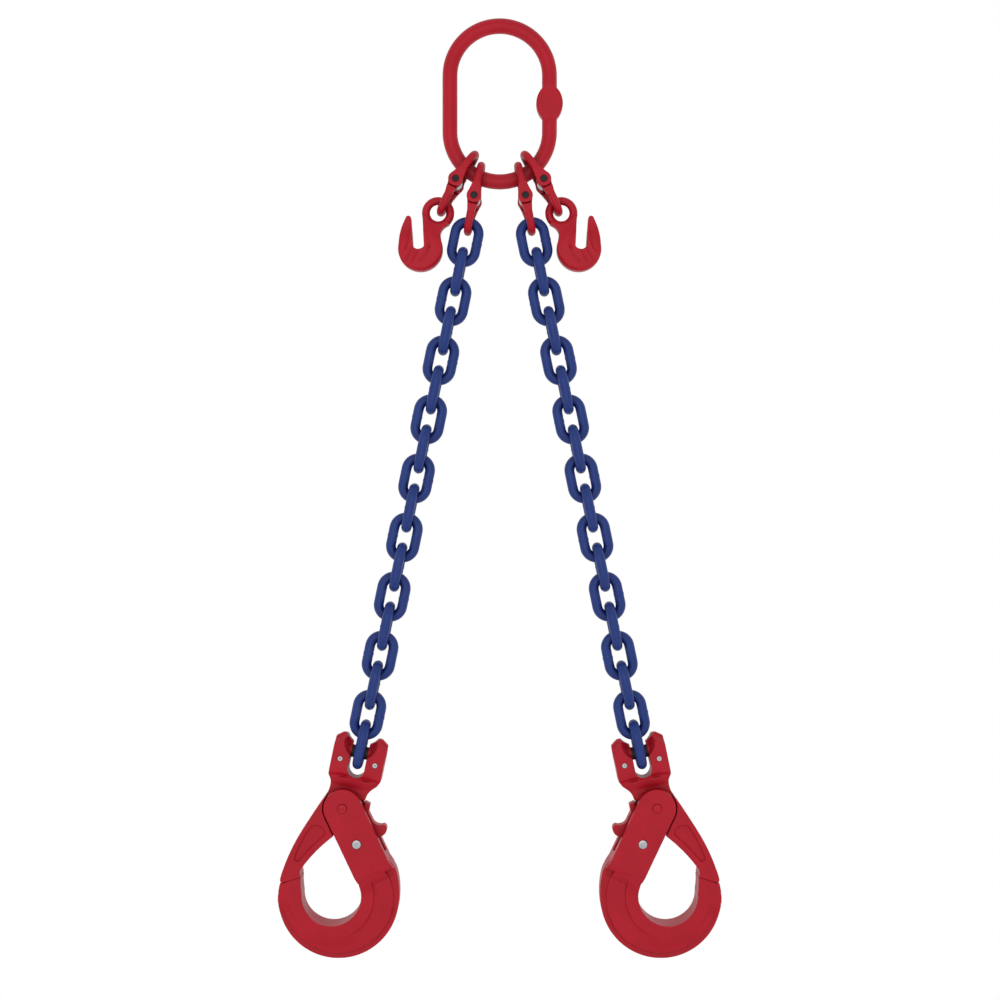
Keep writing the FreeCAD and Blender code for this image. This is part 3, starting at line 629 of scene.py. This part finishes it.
def shape_coupling(pin_node):
    """The crown of a coupling half is bent round bar; its ears keep their flat faces."""
    low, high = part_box(pin_node)
    pin = np.array([(low[i] + high[i]) / 2 for i in range(3)]) / MM
    half_width = (high[1] - low[1]) / 2 / MM
    bend_radius = half_width - 8.2 / 2
    bar_radius = 3.95

    def sculpt(mesh, points):
        points = points / MM
        # the crown lies on the middle plane, away from the pin
        middle = points[np.abs(points[:, 1]) < 4]
        up = (middle.max(axis=0) + middle.min(axis=0)) / 2 - pin
        up = np.array((up[0], 0.0, up[2])) / math.hypot(up[0], up[2])
        side = np.array((up[2], 0.0, -up[0]))
        along = (points - pin) @ up
        aside = (points - pin) @ side
        y = points[:, 1]
        centre = along.max() - half_width
        over = np.maximum(along - centre, 0.0)
        radial = np.hypot(y, over)
        off = radial - bend_radius
        round_bar = np.minimum(1.0, bar_radius / np.maximum(np.hypot(off, aside), 1e-9))
        shrink = 1 - smooth_step(centre - 6.0, centre - 1.0, along) * (1 - round_bar)
        scale = (bend_radius + off * shrink) / np.maximum(radial, 1e-9)
        scale = np.where(radial < 2.0, 1.0, scale)
        along = np.where(over > 0, centre + over * scale, along)
        points = pin + np.outer(along, up) + np.outer(aside * shrink, side)
        points[:, 1] = y * scale
        crown = smooth_step(centre - 9.0, centre - 3.0, along)
        return relaxed(mesh, points * MM, 8, crown), 1.0

    return sculpt


def add_forging(node, voxel, passes, sculpt=None):
    piece = forged(node + "_forging", nodes[node].data.copy(), RED, voxel, passes, sculpt)
    finish_piece(piece, node)


add_forging("master_link", 0.9 * MM, 4)
for side in SIDES:
    add_forging(side + "_grab_hook", 0.5 * MM, 4, shape_grab_hook(side))
    add_forging(side + "_hook_clevis", 0.5 * MM, 5, shape_clevis(side))
    add_forging(side + "_hook_body", 0.6 * MM, 4, shape_hook_body(side))
    for coupling in COUPLINGS:
        stem = "%s_%s_connector_" % (side, coupling)
        for half in ("upper", "lower"):
            add_forging(stem + half, 0.5 * MM, 3, shape_coupling(stem + "pin"))


# ---------------------------------------------------------------- chain
def box_middle(node):
    low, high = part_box(node)
    return (Vector(low) + Vector(high)) / 2


def link_path(radius, straight):
    """The middle line of a link in the XZ plane: centre, outward direction and, along the welded
    side only, the height of each point.
    """
    arc_steps, side_steps = 28, 16
    path = []
    for way, first_angle in ((1, 0.0), (-1, math.pi)):
        for step in range(side_steps):
            z = way * (-straight + 2 * straight * step / side_steps)
            path.append((Vector((way * radius, 0, z)), Vector((way, 0, 0)), z if way > 0 else None))
        for step in range(arc_steps):
            turn = first_angle + math.pi * step / arc_steps
            out = Vector((math.cos(turn), 0, math.sin(turn)))
            path.append((Vector((0, 0, way * straight)) + radius * out, out, None))
    return path


def bead_height(z):
    """A low weld bead half way down the side, with a shallow dip on each side of it."""
    bead = 0.28 * MM * math.exp(-((z / (1.1 * MM)) ** 2))
    return bead - 0.10 * MM * math.exp(-((abs(z) - 2.6 * MM) / (0.8 * MM)) ** 2)


def link_mesh(wire, radius, straight):
    """A round-bar link in the XZ plane with a low weld bead on one straight side."""
    around = 28
    link = bmesh.new()
    rings = []
    for centre, out, welded_z in link_path(radius, straight):
        bar = wire / 2 + (0.0 if welded_z is None else bead_height(welded_z))
        ring = []
        for step in range(around):
            turn = 2 * math.pi * step / around
            offset = (out * math.cos(turn) + Vector((0, 1, 0)) * math.sin(turn)) * bar
            ring.append(link.verts.new(centre + offset))
        rings.append(ring)
    for first, second in zip(rings, rings[1:] + rings[:1]):
        for step in range(around):
            after = (step + 1) % around
            link.faces.new((first[step], first[after], second[after], second[step]))
    bmesh.ops.recalc_face_normals(link, faces=link.faces)
    mesh = bpy.data.meshes.new("chain_link")
    link.to_mesh(mesh)
    link.free()
    smooth_shading(mesh)
    mesh.materials.append(BLUE)
    return mesh


def link_from_frame():
    """The mesh all links share, sized from the first two CAD links of the left leg."""
    low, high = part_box("left_link_01")
    wire = high[1] - low[1]
    low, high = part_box("left_link_02")
    inside_width = (high[1] - low[1]) - 2 * wire
    pitch = (box_middle("left_link_02") - box_middle("left_link_01")).length
    # a link is a little longer inside than the pitch, so that neighbours have some play
    play = 0.2 * MM
    return link_mesh(wire, (inside_width + wire) / 2, (pitch + play - inside_width) / 2)


def add_leg(side, mesh):
    """Sets each link at its CAD link's middle, turned a quarter from the one above."""
    last = box_middle(side + "_link_%02d" % LINKS)
    up = -(last - box_middle(side + "_link_01")).normalized()
    depth = Vector((0, 1, 0))
    flat = depth.cross(up).normalized()
    for number in range(1, LINKS + 1):
        node = "%s_link_%02d" % (side, number)
        link = bpy.data.objects.new("%s_chain_link_%02d" % (side, number), mesh)
        bpy.context.scene.collection.objects.link(link)
        x_axis = flat if number % 2 else depth
        if (number // 2) % 2:
            x_axis = -x_axis
        turn = Matrix((x_axis, up.cross(x_axis), up)).transposed().to_4x4()
        link.matrix_world = Matrix.Translation(box_middle(node)) @ turn
        finish_piece(link, node)


shared_link = link_from_frame()
for side in SIDES:
    add_leg(side, shared_link)


# ---------------------------------------------------------------- pins
def extent(mesh):
    """Size of a mesh along X, Y and Z."""
    points = [vertex.co for vertex in mesh.vertices]
    return [max(p[i] for p in points) - min(p[i] for p in points) for i in range(3)]


def turned(name, mesh, material, bevel):
    """A turned part from its CAD solid, its sharp rims broken by a small bevel."""
    obj = new_object(name, mesh, material)
    edge = obj.modifiers.new("rims", "BEVEL")
    edge.width = bevel
    edge.segments = 3
    edge.angle_limit = math.radians(50)
    baked(obj)
    obj.data.materials.clear()
    obj.data.materials.append(material)
    smooth_shading(obj.data, 40)
    return obj


def headed(mesh, spread, proud):
    """Widens and lifts both ends of a cross pin into low heads."""
    head = 0.6 * MM
    points = points_of(mesh)
    half = np.abs(points[:, 1]).max()
    middle = (points.max(axis=0) + points.min(axis=0)) / 2
    end = np.abs(points[:, 1]) > half - head
    points[end, 0] = middle[0] + (points[end, 0] - middle[0]) * spread
    points[end, 2] = middle[2] + (points[end, 2] - middle[2]) * spread
    points[end, 1] += np.sign(points[end, 1]) * proud
    put_points(mesh, points)
    return mesh


def flat_ends(work):
    """The faces of a cross pin that look along Y."""
    return [face for face in work.faces if abs(face.normal.y) > 0.95]


def dimpled(mesh, share, depth):
    """Sinks a small round hollow into both flat ends of a cross pin."""
    work = bmesh.new()
    work.from_mesh(mesh)
    bmesh.ops.dissolve_faces(work, faces=flat_ends(work))
    largest = sorted(flat_ends(work), key=lambda face: -face.calc_area())
    for face in largest[:2]:
        radius = math.sqrt(face.calc_area() / math.pi)
        way = 1.0 if face.normal.y > 0 else -1.0
        bmesh.ops.inset_region(work, faces=[face], thickness=radius * (1 - share))
        bmesh.ops.inset_region(work, faces=[face], thickness=radius * 0.08, depth=0.0)
        for vertex in face.verts:
            vertex.co.y -= way * depth
    work.to_mesh(mesh)
    work.free()
    return mesh


def add_coupling_pin(side, coupling):
    """The bar that joins two coupling halves, and its retaining bush."""
    stem = "%s_%s_connector_" % (side, coupling)
    solids = sorted(islands(nodes[stem + "pin"].data), key=lambda mesh: -extent(mesh)[1])
    pieces = [turned(stem + "pin_bar", solids[0], BLACK, 0.4 * MM),
              turned(stem + "bush", solids[1], ZINC, 0.3 * MM)]
    for piece in pieces:
        finish_piece(piece, stem + "pin")


def add_hook_pins(side):
    """The load pin, the main rivet and the two pins that keep the load pin in."""
    node = side + "_hook_pins"
    solids = sorted(islands(nodes[node].data), key=lambda mesh: extent(mesh)[0])
    retainers, rivet, load_pin = solids[:2], solids[2], solids[3]
    pieces = [turned(side + "_load_pin", load_pin, BLACK, 0.6 * MM),
              turned(side + "_pivot_rivet", headed(rivet, 1.04, 0.35 * MM), RED, 0.8 * MM)]
    for label, mesh in zip("ab", retainers):
        name = "%s_retaining_pin_%s" % (side, label)
        pieces.append(turned(name, dimpled(mesh, 0.35, 0.6 * MM), ZINC, 0.3 * MM))
    for piece in pieces:
        finish_piece(piece, node)


def add_trigger(side):
    """The trigger lever, its pin and the spring inside it."""
    node = side + "_hook_trigger"
    solids = sorted(islands(nodes[node].data), key=lambda mesh: extent(mesh)[2] * extent(mesh)[1])
    lever = solids[2]
    spring, pin = sorted(solids[:2], key=lambda mesh: extent(mesh)[1])
    pieces = [forged(side + "_trigger_lever", lever, RED, 0.5 * MM, 3),
              turned(side + "_trigger_pin", dimpled(pin, 0.4, 0.4 * MM), ZINC, 0.4 * MM),
              new_object(side + "_trigger_spring", spring, SPRING)]
    smooth_shading(spring, 40)
    for piece in pieces:
        finish_piece(piece, node)


for side in SIDES:
    for coupling in COUPLINGS:
        add_coupling_pin(side, coupling)
    add_hook_pins(side)
    add_trigger(side)


# ---------------------------------------------------------------- studio
WHITE = (1.0, 1.0, 1.0, 1.0)


def floor_material():
    """Pale speckled floor that melts into the backdrop away from the object."""
    fade_start, fade_end = 0.55, 0.85
    n = Nodes("pale_floor")
    speckle = n.noise(60.0, 3.0)
    n.tree.links.new(n.mix(speckle.outputs["Fac"], (0.93, 0.93, 0.93), (0.97, 0.97, 0.97)),
                     n.shader.inputs["Base Color"])
    n.shader.inputs["Roughness"].default_value = 0.8
    flat = n.add("ShaderNodeVectorMath", operation="MULTIPLY")
    flat.inputs[1].default_value = (1.0, 1.0, 0.0)
    n.join(n.place(), "Object", flat, 0)
    spot = n.add("ShaderNodeVectorMath", operation="LENGTH")
    n.join(flat, "Vector", spot, 0)
    fade = n.add("ShaderNodeMapRange", interpolation_type="SMOOTHSTEP")
    fade.inputs["From Min"].default_value = fade_start
    fade.inputs["From Max"].default_value = fade_end
    n.join(spot, "Value", fade, "Value")
    glow = n.add("ShaderNodeEmission")
    glow.inputs["Color"].default_value = WHITE
    both = n.add("ShaderNodeMixShader")
    n.join(fade, "Result", both, "Fac")
    n.join(n.shader, "BSDF", both, 1)
    n.join(glow, "Emission", both, 2)
    n.join(both, "Shader", n.output, "Surface")
    return n.material


def add_floor(drop, half):
    """A square floor some way below the hanging sling."""
    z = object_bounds()[0][2] - drop
    corners = [(-half, -half, z), (half, -half, z), (half, half, z), (-half, half, z)]
    mesh = bpy.data.meshes.new("floor")
    mesh.from_pydata(corners, [], [(0, 1, 2, 3)])
    new_object("floor", mesh, floor_material())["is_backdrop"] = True


def add_backdrop(light_level):
    """White for the eye and for reflections, softer as a light."""
    world = bpy.data.worlds.new("studio")
    bpy.context.scene.world = world
    world.use_nodes = True
    tree = world.node_tree
    sky = tree.nodes["Background"]
    ray = tree.nodes.new("ShaderNodeLightPath")
    level = tree.nodes.new("ShaderNodeMapRange")
    level.inputs["To Min"].default_value = 1.0
    level.inputs["To Max"].default_value = light_level
    tree.links.new(ray.outputs["Is Diffuse Ray"], level.inputs["Value"])
    tree.links.new(level.outputs["Result"], sky.inputs["Strength"])
    sky.inputs["Color"].default_value = WHITE


def add_panel(name, at, aim, size, power):
    """A rectangular soft light at one point, aimed at another."""
    data = bpy.data.lights.new(name, "AREA")
    data.shape = "RECTANGLE"
    data.size, data.size_y = size
    data.energy = power
    lamp = bpy.data.objects.new(name, data)
    bpy.context.scene.collection.objects.link(lamp)
    lamp.location = at
    lamp.rotation_euler = (Vector(aim) - Vector(at)).to_track_quat("-Z", "Y").to_euler()


def add_camera(at):
    """Looks level along +Y, straight at the sling's front."""
    data = bpy.data.cameras.new("camera")
    data.lens = 50
    data.sensor_width = 36
    camera = bpy.data.objects.new("camera", data)
    bpy.context.scene.collection.objects.link(camera)
    camera.location = at
    camera.rotation_euler = (math.radians(90), 0, 0)
    bpy.context.scene.camera = camera


add_floor(drop=0.35, half=6.0)
add_backdrop(light_level=0.74)
add_panel("key", at=(-0.3, -3.0, -0.2), aim=(0, 0, -0.5), size=(2.4, 1.8), power=15)
add_camera(at=(0.0003, -1.382, -0.464))
bpy.context.scene.view_settings.view_transform = "Standard"
